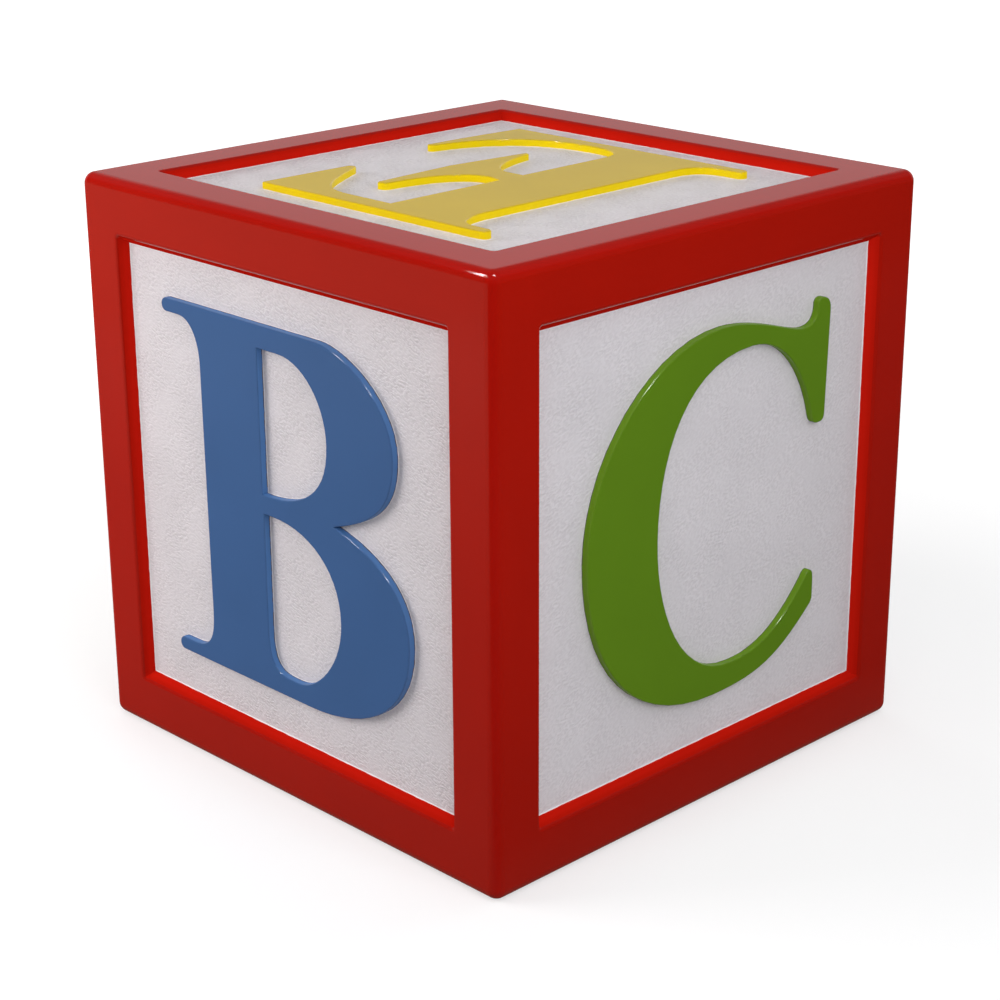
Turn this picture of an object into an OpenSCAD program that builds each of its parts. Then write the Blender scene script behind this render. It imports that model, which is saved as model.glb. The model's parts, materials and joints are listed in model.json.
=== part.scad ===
// Large painted alphabet block: a doweled frame, six grooved panels and six raised letters.
// The origin is at the middle of the underside, +Z is up, and the letter B faces -Y.

/* [Block] */
// Length of each side of the cube
side = 450; // [360:10:700]
// Rounding of the outer edges and corners
round_r = 9; // [4:0.5:12]

/* [Frame] */
// Width of a post or rail on the outside, up to the arris of its bevel
face_w = 42; // [38:0.5:60]
// How far the bevel reaches sideways, from the arris to the panel
bevel_w = 7; // [4:0.5:12]
// Depth of the panels below the outside of the frame
panel_depth = 8.5; // [7:0.5:14]
// Rounding of the bevel's arris
arris_r = 3.6; // [1:0.2:6]

/* [Panels] */
// Thickness of a panel, and width of the grooves that hold it
panel_t = 6; // [4:0.5:9]
// Length of a panel's edge that is held in the groove
panel_hold = 8; // [4:0.5:12]
// Space left beyond the panel's edge, so that the wood can move
panel_gap = 1; // [0.5:0.25:2]

/* [Letters] */
// Space between a letter and the frame, above and below
letter_margin = 34; // [20:1:60]
// Thickness of a letter
letter_t = 6; // [4.5:0.5:6.5]
// How far a letter stands above the middle of its face
letter_lift = 1.8; // [0:0.2:6]

/* [Dowels] */
// Diameter of a dowel and of its holes
dowel_d = 10; // [6:1:11]
// Length of a dowel
dowel_len = 50; // [30:2:56]
// Wood left between a dowel and the outside of the frame
dowel_edge = 6; // [5:0.5:7]
// Chamfer on a dowel's ends
dowel_chamfer = 1; // [0.5:0.25:1.5]
// Space for glue beyond each end of a dowel
glue_gap = 2; // [1:0.5:4]

/* [Screws] */
// Diameter of the screws that hold a letter
screw_d = 3; // [2:0.5:4]
// Diameter of a screw's countersunk head
screw_head_d = 6; // [5:0.5:8]
// Length of a screw
screw_len = 10; // [8.5:0.5:10.5]
// Side clearance of a screw in its hole through the panel
screw_gap = 0.2; // [0.1:0.05:0.4]
// Width of the driver's slot in a screw's head
slot_w = 0.8; // [0.5:0.1:1]
// Depth of the driver's slot
slot_depth = 0.9; // [0.5:0.1:1.1]

/* [Hidden] */

$fn = 64;
red = "#b01d12";
white = "#e4dcdc";
blue = "#46669a";
green = "#5a8a1c";
yellow = "#efd21a";
beech = "#d9b88a";
zinc = "#b9bcc0";

// How far a cut runs past what it cuts
overrun = 1;
// Steps in each curve of a letter and in each round end
curve_steps = 14;
arc_steps = 10;
// Steps in the rounded edge and in the rounded arrises of a rail's section
arris_steps = 8;

// Section of a post or rail, measured from the two outer faces that meet on it
bar_w = face_w + bevel_w;
bevel_tilt = atan2(panel_depth, bevel_w);
arris_set = arris_r * tan(bevel_tilt / 2);
flat_w = face_w - arris_set;

// Places of the dowels, from the outer faces
dowel_near = dowel_edge + dowel_d / 2;
dowel_far = flat_w - dowel_edge - dowel_d / 2;
hole_depth = dowel_len / 2 + glue_gap;

// Panels reach from groove to groove
panel_start = bar_w - panel_hold;
panel_w = side - 2 * panel_start;
groove_start = panel_start - panel_gap;
groove_w = side - 2 * groove_start;

letter_h = side - 2 * (bar_w + letter_margin);
letter_foot = bar_w + letter_margin + letter_lift;
head_h = (screw_head_d - screw_d) / 2;

// Shapes of the letters, in shares of the letter's height, from the foot of the middle line
serif_share = .037;
b_screw_shares = [[-.19, .86], [-.19, .50], [-.19, .14], [.31, .76], [.35, .28]];
c_screw_shares = [[-.34, .50], [-.27, .78], [-.27, .22], [.03, .965], [.10, .036], [.42, .86]];
d_screw_shares = [[-.21, .86], [-.21, .50], [-.21, .14], [.33, .68], [.33, .32]];
a_screw_shares = [[.03, .80], [.16, .42], [.24, .16], [-.282, .16], [-.07, .319]];
e_screw_shares = [[-.19, .86], [-.19, .50], [-.19, .14], [.29, .92], [.14, .62], [.36, .09]];
f_screw_shares = [[-.19, .86], [-.19, .50], [-.19, .14], [.29, .92], [.14, .62]];

function along(a, b, c, d, t) =
    pow(1 - t, 3) * a + 3 * t * pow(1 - t, 2) * b + 3 * t * t * (1 - t) * c + pow(t, 3) * d;
function curve(a, b, c, d) = [for (i = [0:curve_steps]) along(a, b, c, d, i / curve_steps)];
function arc(centre, r, from, to, steps = arc_steps) =
    [for (i = [0:steps]) let (a = from + (to - from) * i / steps) centre + r * [cos(a), sin(a)]];
function round_left(x_share, y_share) =
    arc([x_share + serif_share / 2, y_share + serif_share / 2], serif_share / 2, 90, 270);
function round_right(x_share, y_share) =
    arc([x_share - serif_share / 2, y_share + serif_share / 2], serif_share / 2, -90, 90);

// Left side of the letters with a stem, from the top down to a foot that ends at foot_share
function stem_side(foot_share) = concat(
    round_left(-.467, 1 - serif_share),
    curve([-.398, .963], [-.340, .963], [-.314, .90], [-.314, .838]),
    curve([-.309, .162], [-.309, .094], [-.314, serif_share], [-.402, serif_share]),
    round_left(foot_share, 0)
);
b_outline_shares = concat(
    stem_side(-.465),
    curve([.095, 0], [.284, 0], [.483, .080], [.483, .282]),
    curve([.483, .282], [.483, .432], [.347, .500], [.207, .531]),
    curve([.207, .531], [.334, .569], [.435, .618], [.435, .759]),
    curve([.435, .759], [.435, .904], [.251, 1], [.155, 1])
);
b_upper_shares = concat(
    [[-.073, .547], [-.048, .547]],
    curve([-.048, .547], [.085, .552], [.188, .606], [.188, .740]),
    curve([.188, .740], [.188, .845], [.109, .938], [.008, .938]),
    [[-.073, .938]]
);
b_lower_shares = concat(
    curve([-.070, .165], [-.070, .050], [-.021, .054], [.044, .054]),
    curve([.044, .054], [.123, .054], [.224, .160], [.224, .275]),
    curve([.224, .275], [.224, .415], [.111, .494], [-.032, .494]),
    [[-.070, .494]]
);
c_outline_shares = concat(
    curve([.019, 1], [-.236, 1], [-.470, .766], [-.470, .497]),
    curve([-.470, .497], [-.470, .192], [-.279, 0], [.016, 0]),
    curve([.016, 0], [.199, 0], [.279, .026], [.415, .146]),
    curve([.422, .159], [.422, .200], [.423, .227], [.418, .238]),
    curve([.418, .238], [.412, .246], [.402, .246], [.392, .236]),
    curve([.385, .226], [.294, .126], [.221, .074], [.090, .074]),
    curve([.090, .074], [-.115, .074], [-.214, .300], [-.214, .494]),
    curve([-.214, .494], [-.214, .724], [-.118, .929], [.131, .929]),
    curve([.131, .929], [.257, .929], [.345, .827], [.385, .696]),
    curve([.385, .696], [.393, .660], [.405, .661], [.423, .662]),
    curve([.423, .662], [.437, .664], [.441, .672], [.441, .690]),
    curve([.449, .965], [.449, 1.001], [.425, 1.003], [.416, 1.003]),
    curve([.416, 1.003], [.398, 1.003], [.397, .992], [.396, .978]),
    curve([.396, .978], [.394, .952], [.380, .935], [.340, .935]),
    curve([.340, .935], [.290, .936], [.154, 1], [.019, 1])
);
d_outline_shares = concat(
    stem_side(-.465),
    curve([-.02, 0], [.26, 0], [.475, .20], [.475, .50]),
    curve([.475, .50], [.475, .80], [.26, 1], [-.02, 1])
);
d_counter_shares = concat(
    curve([-.073, .155], [-.073, .066], [-.060, .054], [.010, .054]),
    curve([.010, .054], [.150, .054], [.215, .24], [.215, .50]),
    curve([.215, .50], [.215, .76], [.150, .940], [.010, .940]),
    [[-.073, .940]]
);
a_outline_shares = concat(
    [[.065, 1], [-.035, 1]],
    curve([-.325, .125], [-.350, .055], [-.370, .037], [-.410, .037]),
    round_left(-.480, 0),
    round_right(-.175, 0),
    curve([-.225, .037], [-.270, .037], [-.275, .070], [-.262, .115]),
    [[-.203, .300], [.059, .300]],
    curve([.120, .125], [.140, .055], [.130, .037], [.090, .037]),
    round_left(.025, 0),
    round_right(.490, 0),
    curve([.440, .037], [.400, .037], [.385, .070], [.370, .125])
);
a_counter_shares = [[-.190, .337], [.046, .337], [-.075, .684]];
// Right side of E and F, from the foot of the middle arm up and round the top arm
arms_shares = concat(
    [[-.060, .460], [.005, .460]],
    curve([.005, .460], [.070, .440], [.110, .370], [.133, .245]),
    [[.146, .242], [.172, .510], [.154, .784]],
    curve([.148, .792], [.136, .796], [.124, .790], [.119, .776]),
    curve([.119, .776], [.112, .620], [.060, .540], [-.020, .540]),
    [[-.062, .547], [-.066, .938], [.095, .938]],
    curve([.095, .938], [.215, .938], [.260, .850], [.339, .704]),
    curve([.345, .696], [.352, .692], [.366, .696], [.368, .708]),
    [[.370, 1]]
);
e_outline_shares = concat(
    stem_side(-.459),
    [[.416, 0], [.429, .165], [.434, .340]],
    curve([.434, .348], [.432, .357], [.416, .360], [.410, .344]),
    curve([.410, .344], [.375, .120], [.235, .050], [.087, .050]),
    curve([.087, .050], [-.010, .050], [-.055, .065], [-.055, .150]),
    arms_shares
);
f_outline_shares = concat(
    stem_side(-.465),
    round_right(.085, 0),
    curve([.020, serif_share], [-.066, serif_share], [-.062, .094], [-.062, .162]),
    arms_shares
);

// Shares of the letter's height, placed on the face
function on_letter(shares) =
    [for (p = shares) [side / 2 + letter_h * p.x, letter_foot + letter_h * p.y]];

// Section of a post or rail: square inside, rounded outside, with a bevel on both faces
module section(outer_r) {
    bevel_points = arc([flat_w, arris_r], arris_r, -90, bevel_tilt - 90, arris_steps);
    mirrored = [for (i = [arris_steps:-1:0]) [bevel_points[i].y, bevel_points[i].x]];
    outer = outer_r > 0 ? arc([outer_r, outer_r], outer_r, 180, 270, arris_steps) : [[0, 0]];
    polygon(concat(
        outer,
        bevel_points,
        [[bar_w, panel_depth], [bar_w, bar_w], [panel_depth, bar_w]],
        mirrored
    ));
}

// Outline of a rail from above: square to the posts, and mitred where the bevels meet
module rail_plan() {
    polygon([
        [flat_w, 0], [flat_w, flat_w], [bar_w, bar_w],
        [side - bar_w, bar_w], [side - flat_w, flat_w], [side - flat_w, 0]
    ]);
}

// Outline of a post from the side: full width between the rails, narrower where they meet it
module post_plan() {
    polygon([
        [0, 0], [flat_w, 0], [flat_w, flat_w], [bar_w, bar_w],
        [bar_w, side - bar_w], [flat_w, side - flat_w], [flat_w, side], [0, side]
    ]);
}

// Block with its outer edges and corners rounded, near one upright edge
module rounded_corner() {
    reach = bar_w + overrun;
    straight = side - 2 * round_r;
    translate([round_r, round_r, 0]) cube([reach, reach, side]);
    translate([0, round_r, round_r]) cube([reach, reach, straight]);
    translate([round_r, 0, round_r]) cube([reach, reach, straight]);
    translate([round_r, round_r, round_r]) cylinder(h = straight, r = round_r);
    for (z = [round_r, side - round_r]) {
        translate([round_r, round_r, z]) {
            rotate([0, 90, 0]) cylinder(h = reach, r = round_r);
            rotate([-90, 0, 0]) cylinder(h = reach, r = round_r);
            sphere(r = round_r);
        }
    }
}

// Room for the front panel and its expansion, starting at_y behind the outer face
module panel_slot(at_y) {
    translate([groove_start, at_y, groove_start]) cube([groove_w, panel_t, groove_w]);
}

// A dowel along X, with its middle at the origin
module dowel() {
    half = dowel_len / 2;
    r = dowel_d / 2;
    tip_r = r - dowel_chamfer;
    rotate([0, 90, 0]) rotate_extrude() polygon([
        [0, -half], [tip_r, -half], [r, dowel_chamfer - half],
        [r, half - dowel_chamfer], [tip_r, half], [0, half]
    ]);
}

// Dowel hole along X, half on each side of the joint at the origin
module dowel_hole() {
    rotate([0, 90, 0]) cylinder(h = 2 * hole_depth, d = dowel_d, center = true);
}

// Places of the dowels at the two ends of a rail that runs along X
module at_rail_joints(drop) {
    for (x = [flat_w, side - flat_w], y = [dowel_near, dowel_far]) {
        translate([x, y, drop]) children();
    }
}

// A rail along X at the front and bottom, from the outer faces
module rail(drop) {
    difference() {
        intersection() {
            rotate([90, 0, 90]) linear_extrude(side) section(round_r);
            linear_extrude(bar_w + overrun) rail_plan();
            translate([0, bar_w + overrun, 0]) rotate([90, 0, 0]) linear_extrude(bar_w + 2 * overrun)
                rail_plan();
        }
        panel_slot(panel_depth);
        translate([groove_start, groove_start, panel_depth]) cube([groove_w, groove_w, panel_t]);
        at_rail_joints(drop) dowel_hole();
    }
}

// A post at the front and left, from the outer faces
module post() {
    difference() {
        intersection() {
            linear_extrude(side) section(0);
            translate([0, bar_w + overrun, 0]) rotate([90, 0, 0]) linear_extrude(bar_w + 2 * overrun)
                post_plan();
            translate([-overrun, 0, 0]) rotate([90, 0, 90]) linear_extrude(bar_w + 2 * overrun)
                post_plan();
            rounded_corner();
        }
        panel_slot(panel_depth);
        translate([panel_depth, groove_start, groove_start]) cube([panel_t, groove_w, groove_w]);
        for (y = [dowel_near, dowel_far], z = [dowel_near, side - dowel_near]) {
            translate([flat_w, y, z]) dowel_hole();
        }
        for (x = [dowel_near, dowel_far], z = [dowel_far, side - dowel_far]) {
            translate([x, flat_w, z]) rotate([0, 0, 90]) dowel_hole();
        }
    }
}

// Moves what is drawn from the outer faces at the front, left and bottom to its place
module to_corner(back, right) {
    mirror([right ? 1 : 0, 0, 0]) mirror([0, back ? 1 : 0, 0]) translate([-side / 2, -side / 2, 0])
        children();
}

module to_top(up) {
    translate([0, 0, up ? side : 0]) mirror([0, 0, up ? 1 : 0]) children();
}

// Turns what is drawn at the front to the face that is that many quarter turns on
module turned(quarters) {
    rotate([0, 0, 90 * quarters]) children();
}

// Draws on a face: X to its right, Y up it and Z out of it, from its lower left corner
module on_side(quarters) {
    turned(quarters) translate([-side / 2, -side / 2, 0]) rotate([90, 0, 0]) children();
}

module on_top() {
    translate([side / 2, side / 2, side]) rotate([0, 0, 180]) children();
}

module on_bottom() {
    translate([-side / 2, side / 2, 0]) rotate([180, 0, 0]) children();
}

// Holes for the screws, through the panel and into the letter
module screw_holes(shares, d) {
    for (p = on_letter(shares)) {
        translate([p.x, p.y, -panel_depth - panel_t - overrun]) cylinder(h = screw_len + overrun, d = d);
    }
}

module screw_seats(shares) {
    for (p = on_letter(shares)) {
        translate([p.x, p.y, -panel_depth - panel_t])
            cylinder(h = head_h, d1 = screw_head_d, d2 = screw_d);
    }
}

module panel(shares) {
    difference() {
        translate([panel_start, panel_start, -panel_depth - panel_t]) cube([panel_w, panel_w, panel_t]);
        screw_holes(shares, screw_d + 2 * screw_gap);
        screw_seats(shares);
    }
}

module letter(shares) {
    difference() {
        translate([0, 0, -panel_depth]) linear_extrude(letter_t) children();
        screw_holes(shares, screw_d);
    }
}

// Countersunk screws with a slot, heads level with the inside of the panel
module screws(shares) {
    for (p = on_letter(shares)) {
        translate([p.x, p.y, -panel_depth - panel_t]) difference() {
            union() {
                cylinder(h = screw_len, d = screw_d);
                cylinder(h = head_h, d1 = screw_head_d, d2 = screw_d);
            }
            translate([0, 0, slot_depth / 2 - overrun / 2])
                cube([screw_head_d + overrun, slot_w, slot_depth + overrun], center = true);
        }
    }
}

module post_front_left() color(red) to_corner(false, false) post();
module post_front_right() color(red) to_corner(false, true) post();
module post_back_left() color(red) to_corner(true, false) post();
module post_back_right() color(red) to_corner(true, true) post();

// The front and back rails carry the dowels nearest to the outside, the side rails the others
module x_rail(up, back) color(red) to_top(up) to_corner(back, false) rail(dowel_near);
module y_rail(up, right) color(red) to_top(up) turned(right ? 1 : -1) to_corner(false, false)
    rail(dowel_far);

module x_dowels(up) color(beech) to_top(up) for (back = [false, true]) {
    to_corner(back, false) at_rail_joints(dowel_near) dowel();
}
module y_dowels(up) color(beech) to_top(up) for (quarters = [-1, 1]) {
    turned(quarters) to_corner(false, false) at_rail_joints(dowel_far) dowel();
}

module rail_top_front() x_rail(true, false);
module rail_top_back() x_rail(true, true);
module rail_top_left() y_rail(true, false);
module rail_top_right() y_rail(true, true);
module rail_bottom_front() x_rail(false, false);
module rail_bottom_back() x_rail(false, true);
module rail_bottom_left() y_rail(false, false);
module rail_bottom_right() y_rail(false, true);

module panel_front() color(white) on_side(0) panel(b_screw_shares);
module panel_right() color(white) on_side(1) panel(c_screw_shares);
module panel_back() color(white) on_side(2) panel(d_screw_shares);
module panel_left() color(white) on_side(3) panel(a_screw_shares);
module panel_top() color(white) on_top() panel(e_screw_shares);
module panel_bottom() color(white) on_bottom() panel(f_screw_shares);

module letter_b() color(blue) on_side(0) letter(b_screw_shares) difference() {
    polygon(on_letter(b_outline_shares));
    polygon(on_letter(b_upper_shares));
    polygon(on_letter(b_lower_shares));
}
module letter_c() color(green) on_side(1) letter(c_screw_shares) polygon(on_letter(c_outline_shares));
module letter_d() color(blue) on_side(2) letter(d_screw_shares) difference() {
    polygon(on_letter(d_outline_shares));
    polygon(on_letter(d_counter_shares));
}
module letter_a() color(green) on_side(3) letter(a_screw_shares) difference() {
    polygon(on_letter(a_outline_shares));
    polygon(on_letter(a_counter_shares));
}
module letter_e() color(yellow) on_top() letter(e_screw_shares) polygon(on_letter(e_outline_shares));
module letter_f() color(yellow) on_bottom() letter(f_screw_shares) polygon(on_letter(f_outline_shares));

module dowels_top_front_back() x_dowels(true);
module dowels_top_sides() y_dowels(true);
module dowels_bottom_front_back() x_dowels(false);
module dowels_bottom_sides() y_dowels(false);

module screws_b() color(zinc) on_side(0) screws(b_screw_shares);
module screws_c() color(zinc) on_side(1) screws(c_screw_shares);
module screws_d() color(zinc) on_side(2) screws(d_screw_shares);
module screws_a() color(zinc) on_side(3) screws(a_screw_shares);
module screws_e() color(zinc) on_top() screws(e_screw_shares);
module screws_f() color(zinc) on_bottom() screws(f_screw_shares);

post_front_left();
post_front_right();
post_back_left();
post_back_right();
rail_top_front();
rail_top_back();
rail_top_left();
rail_top_right();
rail_bottom_front();
rail_bottom_back();
rail_bottom_left();
rail_bottom_right();
panel_front();
panel_right();
panel_back();
panel_left();
panel_top();
panel_bottom();
letter_b();
letter_c();
letter_d();
letter_a();
letter_e();
letter_f();
dowels_top_front_back();
dowels_top_sides();
dowels_bottom_front_back();
dowels_bottom_sides();
screws_b();
screws_c();
screws_d();
screws_a();
screws_e();
screws_f();
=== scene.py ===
import bmesh
import bpy
import json
import math
import mathutils
from mathutils import Matrix, Vector

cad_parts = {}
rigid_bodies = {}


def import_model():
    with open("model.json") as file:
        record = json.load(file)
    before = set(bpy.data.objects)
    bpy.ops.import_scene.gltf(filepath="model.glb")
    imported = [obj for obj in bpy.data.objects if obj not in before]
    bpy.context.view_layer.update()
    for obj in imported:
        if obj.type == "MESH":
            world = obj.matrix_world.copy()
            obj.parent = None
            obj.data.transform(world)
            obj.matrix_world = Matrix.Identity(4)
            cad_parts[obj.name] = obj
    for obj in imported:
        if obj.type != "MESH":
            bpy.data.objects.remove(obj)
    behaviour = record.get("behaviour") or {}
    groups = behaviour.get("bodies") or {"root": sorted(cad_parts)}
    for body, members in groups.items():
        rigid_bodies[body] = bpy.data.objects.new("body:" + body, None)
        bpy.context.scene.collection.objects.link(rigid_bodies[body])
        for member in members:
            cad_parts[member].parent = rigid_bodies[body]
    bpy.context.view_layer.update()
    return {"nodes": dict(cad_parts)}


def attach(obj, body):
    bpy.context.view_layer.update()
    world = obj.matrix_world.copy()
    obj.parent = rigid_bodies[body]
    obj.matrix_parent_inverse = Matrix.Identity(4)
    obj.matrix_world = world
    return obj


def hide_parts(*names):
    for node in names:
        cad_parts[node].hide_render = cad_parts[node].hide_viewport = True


for leftover in list(bpy.data.objects):
    bpy.data.objects.remove(leftover, do_unlink=True)

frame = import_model()
print("frame loaded,", len(frame["nodes"]), "nodes")

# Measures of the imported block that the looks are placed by, in metres
block = {
    "side": 0.450,
    "panelDepth": 0.0085,
    "flatWidth": 0.0403,
    "barWidth": 0.049,
    "bevelReach": 0.007,
}

# Every face as its letter is read: its right, its up, and its white paint: the turn, strength and
# size of the ripples and a factor that paints the light each face gets into its brightness, fitted
# to the photograph for front, right and top and made up in the same range for the hidden faces
faces = {
    "front": {"right": (1, 0, 0), "up": (0, 0, 1), "letter": "letter_b", "paint": "blue",
              "rolled": -0.45, "relief": 0.58, "ripple": 1.0, "paintedLightFactor": 0.975},
    "right": {"right": (0, 1, 0), "up": (0, 0, 1), "letter": "letter_c", "paint": "green",
              "rolled": 0.42, "relief": 0.35, "ripple": 1.15, "paintedLightFactor": 1.0},
    "back": {"right": (-1, 0, 0), "up": (0, 0, 1), "letter": "letter_d", "paint": "blue",
             "rolled": 0.50, "relief": 0.46, "ripple": 1.1, "paintedLightFactor": 1.0},
    "left": {"right": (0, -1, 0), "up": (0, 0, 1), "letter": "letter_a", "paint": "green",
             "rolled": -0.30, "relief": 0.44, "ripple": 1.1, "paintedLightFactor": 1.0},
    "top": {"right": (-1, 0, 0), "up": (0, -1, 0), "letter": "letter_e", "paint": "yellow",
            "rolled": 0.35, "relief": 1.0, "ripple": 1.0, "paintedLightFactor": 1.163},
    "bottom": {"right": (1, 0, 0), "up": (0, -1, 0), "letter": "letter_f", "paint": "yellow",
               "rolled": -0.20, "relief": 0.46, "ripple": 1.2, "paintedLightFactor": 1.0},
}
middle = Vector((0, 0, block["side"] / 2))
corners = ((-1, -1), (-1, 1), (1, 1), (1, -1))


# Camera, at the photograph's viewing angle

view = {
    "place": (1.2181, -1.1890, 0.7992),
    "around": 45.690,
    "above": 19.862,
    "roll": -0.287,
    "lens": 81.75,
    "sensor": 36,
}


def setCamera():
    around, above, roll = (math.radians(view[key]) for key in ("around", "above", "roll"))
    back = Vector((math.sin(around) * math.cos(above), -math.cos(around) * math.cos(above),
                   math.sin(above)))
    right = Vector((math.cos(around), math.sin(around), 0))
    up = back.cross(right)
    rolledRight = math.cos(roll) * right + math.sin(roll) * up
    rolledUp = -math.sin(roll) * right + math.cos(roll) * up
    camera = bpy.data.objects.new("camera", bpy.data.cameras.new("camera"))
    camera.data.lens = view["lens"]
    camera.data.sensor_width = view["sensor"]
    turn = Matrix((rolledRight, rolledUp, back)).transposed()
    camera.matrix_world = Matrix.Translation(view["place"]) @ turn.to_4x4()
    bpy.context.collection.objects.link(camera)
    bpy.context.scene.camera = camera


setCamera()
bpy.context.scene.view_settings.view_transform = "Standard"
print("camera placed")


# Node helpers

def put(tree, kind, inputs=None, **settings):
    node = tree.nodes.new(kind)
    for key, value in settings.items():
        setattr(node, key, value)
    for key, value in (inputs or {}).items():
        if isinstance(value, bpy.types.NodeSocket):
            tree.links.new(value, node.inputs[key])
        else:
            node.inputs[key].default_value = value
    return node


def maths(tree, operation, first, second=0.0, third=0.0, clamp=False):
    node = put(tree, "ShaderNodeMath", {0: first, 1: second, 2: third},
               operation=operation, use_clamp=clamp)
    return node.outputs[0]


def vectorMaths(tree, operation, first, second=(0, 0, 0)):
    return put(tree, "ShaderNodeVectorMath", {0: first, 1: second}, operation=operation).outputs


def partsOf(tree, vector):
    return put(tree, "ShaderNodeSeparateXYZ", {0: vector}).outputs


def ramp(tree, value, low, high, smooth=True, start=0.0, end=1.0):
    kind = "SMOOTHSTEP" if smooth else "LINEAR"
    node = put(tree, "ShaderNodeMapRange", {"Value": value, "From Min": low, "From Max": high,
               "To Min": start, "To Max": end}, interpolation_type=kind)
    return node.outputs["Result"]


def blendColours(tree, amount, first, second):
    node = put(tree, "ShaderNodeMix", {0: amount, 6: first, 7: second}, data_type="RGBA")
    return node.outputs[2]


def blendNumbers(tree, amount, first, second):
    node = put(tree, "ShaderNodeMix", {0: amount, 2: first, 3: second}, data_type="FLOAT")
    return node.outputs[0]


def shaded(tree, colour, value):
    return put(tree, "ShaderNodeHueSaturation", {"Color": colour, "Value": value}).outputs[0]


def noise(tree, vector, scale, detail=2.0, roughness=0.5, distortion=0.0):
    node = put(tree, "ShaderNodeTexNoise", {"Vector": vector, "Scale": scale, "Detail": detail,
               "Roughness": roughness, "Distortion": distortion})
    return node.outputs[0]


def newGroup(name, inputs, outputs):
    group = bpy.data.node_groups.new(name, "ShaderNodeTree")
    for label, kind, value in inputs:
        socket = group.interface.new_socket(label, in_out="INPUT", socket_type="NodeSocket" + kind)
        if value is not None:
            socket.default_value = value
    for label, kind in outputs:
        group.interface.new_socket(label, in_out="OUTPUT", socket_type="NodeSocket" + kind)
    given = group.nodes.new("NodeGroupInput")
    result = group.nodes.new("NodeGroupOutput")
    return group, given.outputs, result.inputs


def usedGroup(tree, group, inputs):
    return put(tree, "ShaderNodeGroup", inputs, node_tree=group).outputs


def newMaterial(name):
    material = bpy.data.materials.new(name)
    material.use_nodes = True
    tree = material.node_tree
    shader = tree.nodes["Principled BSDF"]
    place = tree.nodes.new("ShaderNodeTexCoord").outputs["Object"]
    return material, tree, shader, place


def bumped(tree, shader, height, strength, distance):
    node = put(tree, "ShaderNodeBump",
               {"Height": height, "Strength": strength, "Distance": distance})
    tree.links.new(node.outputs[0], shader.inputs["Normal"])


# Mesh helpers

smoothing = {
    "angle": 28,
    "weld": 0.000002,
    "weight": 100,
}


# Smooths the shading of a node across its fine facets and keeps its real edges
def makeSmoothingNodes(limit):
    group = bpy.data.node_groups.new("smooth by angle", "GeometryNodeTree")
    group.interface.new_socket("Mesh", in_out="INPUT", socket_type="NodeSocketGeometry")
    group.interface.new_socket("Mesh", in_out="OUTPUT", socket_type="NodeSocketGeometry")
    given = group.nodes.new("NodeGroupInput")
    result = group.nodes.new("NodeGroupOutput")
    angle = group.nodes.new("GeometryNodeInputMeshEdgeAngle")
    soft = put(group, "FunctionNodeCompare", {0: angle.outputs[0], 1: math.radians(limit)},
               data_type="FLOAT", operation="LESS_THAN")
    wholeFaces = put(group, "GeometryNodeSetShadeSmooth",
                     {0: given.outputs[0], "Shade Smooth": True}, domain="FACE")
    softEdges = put(group, "GeometryNodeSetShadeSmooth",
                    {0: wholeFaces.outputs[0], "Shade Smooth": soft.outputs[0]}, domain="EDGE")
    group.links.new(softEdges.outputs[0], result.inputs[0])
    return group


smoothingNodes = makeSmoothingNodes(smoothing["angle"])


def smoothShading(piece, weld=True):
    if weld:
        joined = piece.modifiers.new("weld", "WELD")
        joined.merge_threshold = smoothing["weld"]
    smoothed = piece.modifiers.new("smooth", "NODES")
    smoothed.node_group = smoothingNodes
    weighted = piece.modifiers.new("weighted normals", "WEIGHTED_NORMAL")
    weighted.keep_sharp = True
    weighted.weight = smoothing["weight"]


def dress(piece, material):
    piece.data.materials.clear()
    piece.data.materials.append(material)


def bridge(bm, lower, upper):
    count = len(lower)
    for i in range(count):
        j = (i + 1) % count
        bm.faces.new((lower[i], lower[j], upper[j], upper[i]))


def addPiece(name, bm, material):
    mesh = bpy.data.meshes.new(name)
    bm.to_mesh(mesh)
    bm.free()
    piece = bpy.data.objects.new(name, mesh)
    bpy.context.collection.objects.link(piece)
    mesh.materials.append(material)
    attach(piece, "root")
    return piece


# Shader groups

# How far a place is from the middle of the block along x, y and z
def fromMiddle(group, position):
    return [maths(group, "ABSOLUTE", part)
            for part in partsOf(group, vectorMaths(group, "SUBTRACT", position, middle)[0])]


# Height of a point above its face's panel
def makePanelHeightGroup():
    group, given, result = newGroup(
        "height above panel", [("Position", "Vector", None)], [("Height", "Float")])
    half = block["side"] / 2
    x, y, z = fromMiddle(group, given["Position"])
    farthest = maths(group, "MAXIMUM", maths(group, "MAXIMUM", x, y), z)
    above = maths(group, "SUBTRACT", farthest, half - block["panelDepth"])
    group.links.new(above, result["Height"])
    return group


# Depths below the flat outside of the frame at which each mask starts and ends
offFlat = {
    "rounding": (0.0002, 0.0018),
    "bevel": (0.0011, 0.0021),
    "arrisIn": (0.0002, 0.0005),
    "arrisOut": (0.0020, 0.0015),
    "deepest": 0.65,
    "edgeReach": 0.025,
}


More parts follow.
